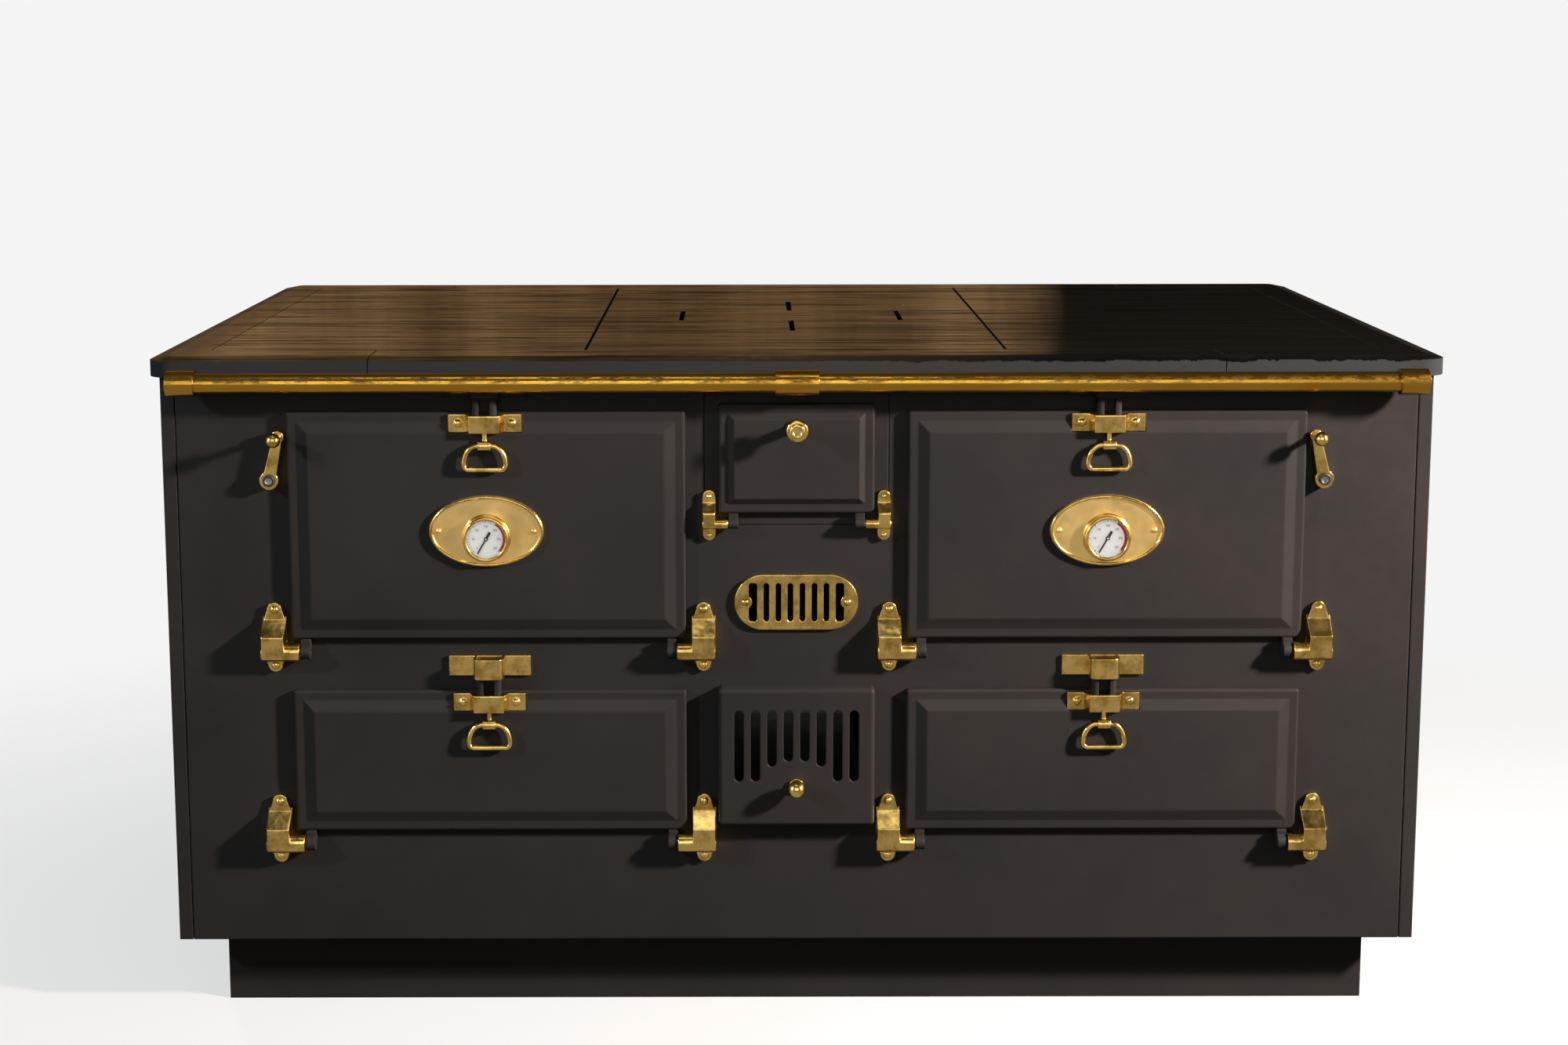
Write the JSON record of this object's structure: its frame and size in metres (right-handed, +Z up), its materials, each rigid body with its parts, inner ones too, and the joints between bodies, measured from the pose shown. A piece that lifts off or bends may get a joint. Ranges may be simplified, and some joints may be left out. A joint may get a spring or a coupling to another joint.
{
  "type": "range cooker",
  "caption": "Freestanding cast iron solid-fuel range cooker with flat worktop, drop-down oven and warming doors, fire door, ash drawer, brass rail, latches and levers.",
  "frame": {"origin": "on the floor, under the middle of the bounding box", "axes": "+X to the right seen from the front, +Y to the back, +Z up; the doors look along -Y"},
  "size_m": [1.6, 0.974, 0.85],
  "materials": {
    "polished_iron": "polished",
    "black_iron": "matte",
    "black_paint": "satin",
    "brass": "polished, slightly aged",
    "satin_brass": "satin",
    "dial_white": "satin",
    "needle_black": "matte",
    "dial_glass": "clear",
    "steel": "satin",
    "grey_enamel": "gloss enamel",
    "raw_iron": "rough",
    "fire_clay": "rough fired clay",
    "sheet_steel": "galvanised"
  },
  "bodies": {
    "range_body": {"rim_ends": "polished_iron", "rim_middle": "polished_iron", "hotplate_left": "polished_iron", "hotplate_right": "polished_iron", "hotplate_centre": "polished_iron", "front_frame": "black_iron", "fire_door_frame": "black_iron", "side_panels": "black_paint", "back_panel": "black_paint", "flue_collar": "black_paint", "base_plate": "black_paint", "plinth": "black_paint", "hand_rail": "brass", "rail_brackets": "black_paint", "hinge_brackets": "brass", "frame_screws": "brass", "latch_keepers": "brass", "oven_boxes": "grey_enamel", "lower_boxes": "grey_enamel", "fire_box": "raw_iron", "fire_bricks": "fire_clay", "grate": "raw_iron", "flue_baffles": "black_paint", "vent_grille": "brass"},
    "oven_door_left": {"oven_door_left": "black_iron", "oven_strap_left": "brass", "thermometer_plate_left": "satin_brass", "thermometer_case_left": "dial_white", "thermometer_glass_left": "dial_glass"},
    "oven_needle_left": {"thermometer_needle_left": "needle_black"},
    "oven_bolt_left": {"oven_bolt_left": "black_iron"},
    "oven_ring_left": {"oven_ring_left": "brass"},
    "oven_rack_left": {"oven_rack_left": "steel"},
    "lower_door_left": {"lower_door_left": "black_iron", "lower_strap_left": "brass"},
    "lower_bolt_left": {"lower_bolt_left": "black_iron"},
    "lower_ring_left": {"lower_ring_left": "brass"},
    "crank_left": {"crank_lever_left": "brass", "damper_left": "steel"},
    "oven_door_right": {"oven_door_right": "black_iron", "oven_strap_right": "brass", "thermometer_plate_right": "satin_brass", "thermometer_case_right": "dial_white", "thermometer_glass_right": "dial_glass"},
    "oven_needle_right": {"thermometer_needle_right": "needle_black"},
    "oven_bolt_right": {"oven_bolt_right": "black_iron"},
    "oven_ring_right": {"oven_ring_right": "brass"},
    "oven_rack_right": {"oven_rack_right": "steel"},
    "lower_door_right": {"lower_door_right": "black_iron", "lower_strap_right": "brass"},
    "lower_bolt_right": {"lower_bolt_right": "black_iron"},
    "lower_ring_right": {"lower_ring_right": "brass"},
    "crank_right": {"crank_lever_right": "brass", "damper_right": "steel"},
    "fire_door": {"fire_door": "black_iron"},
    "fire_knob": {"fire_knob": "brass", "fire_latch": "steel"},
    "ash_drawer": {"ash_front": "black_iron", "ash_pan": "sheet_steel", "ash_knob": "brass"}
  },
  "joints": [
    {"name": "oven_door_left_drop", "type": "hinge", "parent": "range_body", "child": "oven_door_left", "pos_m": [-0.384, -0.449, 0.48], "axis": [1, 0, 0], "range_deg": [0, 90]},
    {"name": "oven_bolt_left_lift", "type": "slide", "parent": "oven_door_left", "child": "oven_bolt_left", "axis": [0, 0, 1], "range_m": [0, 0.009]},
    {"name": "oven_ring_left_swing", "type": "hinge", "parent": "oven_bolt_left", "child": "oven_ring_left", "pos_m": [-0.384, -0.4585, 0.742], "axis": [-1, 0, 0], "range_deg": [-8, 85]},
    {"name": "lower_door_left_drop", "type": "hinge", "parent": "range_body", "child": "lower_door_left", "pos_m": [-0.384, -0.449, 0.232], "axis": [1, 0, 0], "range_deg": [0, 90]},
    {"name": "lower_bolt_left_lift", "type": "slide", "parent": "lower_door_left", "child": "lower_bolt_left", "axis": [0, 0, 1], "range_m": [0, 0.009]},
    {"name": "lower_ring_left_swing", "type": "hinge", "parent": "lower_bolt_left", "child": "lower_ring_left", "pos_m": [-0.384, -0.4585, 0.3885], "axis": [-1, 0, 0], "range_deg": [-8, 85]},
    {"name": "oven_needle_left_turn", "type": "hinge", "parent": "oven_door_left", "child": "oven_needle_left", "pos_m": [-0.384, -0.4598, 0.6255], "axis": [0, 1, 0], "range_deg": [0, 285]},
    {"name": "oven_rack_left_slide", "type": "slide", "parent": "range_body", "child": "oven_rack_left", "axis": [0, -1, 0], "range_m": [0, 0.24]},
    {"name": "crank_left_turn", "type": "hinge", "parent": "range_body", "child": "crank_left", "pos_m": [-0.652, -0.436, 0.6975], "axis": [0, -1, 0], "range_deg": [0, 90]},
    {"name": "oven_door_right_drop", "type": "hinge", "parent": "range_body", "child": "oven_door_right", "pos_m": [0.384, -0.449, 0.48], "axis": [1, 0, 0], "range_deg": [0, 90]},
    {"name": "oven_bolt_right_lift", "type": "slide", "parent": "oven_door_right", "child": "oven_bolt_right", "axis": [0, 0, 1], "range_m": [0, 0.009]},
    {"name": "oven_ring_right_swing", "type": "hinge", "parent": "oven_bolt_right", "child": "oven_ring_right", "pos_m": [0.384, -0.4585, 0.742], "axis": [-1, 0, 0], "range_deg": [-8, 85]},
    {"name": "lower_door_right_drop", "type": "hinge", "parent": "range_body", "child": "lower_door_right", "pos_m": [0.384, -0.449, 0.232], "axis": [1, 0, 0], "range_deg": [0, 90]},
    {"name": "lower_bolt_right_lift", "type": "slide", "parent": "lower_door_right", "child": "lower_bolt_right", "axis": [0, 0, 1], "range_m": [0, 0.009]},
    {"name": "lower_ring_right_swing", "type": "hinge", "parent": "lower_bolt_right", "child": "lower_ring_right", "pos_m": [0.384, -0.4585, 0.3885], "axis": [-1, 0, 0], "range_deg": [-8, 85]},
    {"name": "oven_needle_right_turn", "type": "hinge", "parent": "oven_door_right", "child": "oven_needle_right", "pos_m": [0.384, -0.4598, 0.6255], "axis": [0, 1, 0], "range_deg": [0, 285]},
    {"name": "oven_rack_right_slide", "type": "slide", "parent": "range_body", "child": "oven_rack_right", "axis": [0, -1, 0], "range_m": [0, 0.24]},
    {"name": "crank_right_turn", "type": "hinge", "parent": "range_body", "child": "crank_right", "pos_m": [0.652, -0.436, 0.6975], "axis": [0, 1, 0], "range_deg": [0, 90]},
    {"name": "fire_door_drop", "type": "hinge", "parent": "range_body", "child": "fire_door", "pos_m": [0, -0.449, 0.642], "axis": [1, 0, 0], "range_deg": [0, 90]},
    {"name": "fire_knob_turn", "type": "hinge", "parent": "fire_door", "child": "fire_knob", "pos_m": [0, -0.451, 0.764], "axis": [0, 1, 0], "range_deg": [0, 90]},
    {"name": "ash_drawer_slide", "type": "slide", "parent": "range_body", "child": "ash_drawer", "axis": [0, -1, 0], "range_m": [0, 0.35]}
  ],
  "couplings": [
    {"joint": "oven_rack_left_slide", "follows": "oven_door_left_drop", "m_per_rad": 0.15},
    {"joint": "oven_rack_right_slide", "follows": "oven_door_right_drop", "m_per_rad": 0.15}
  ]
}
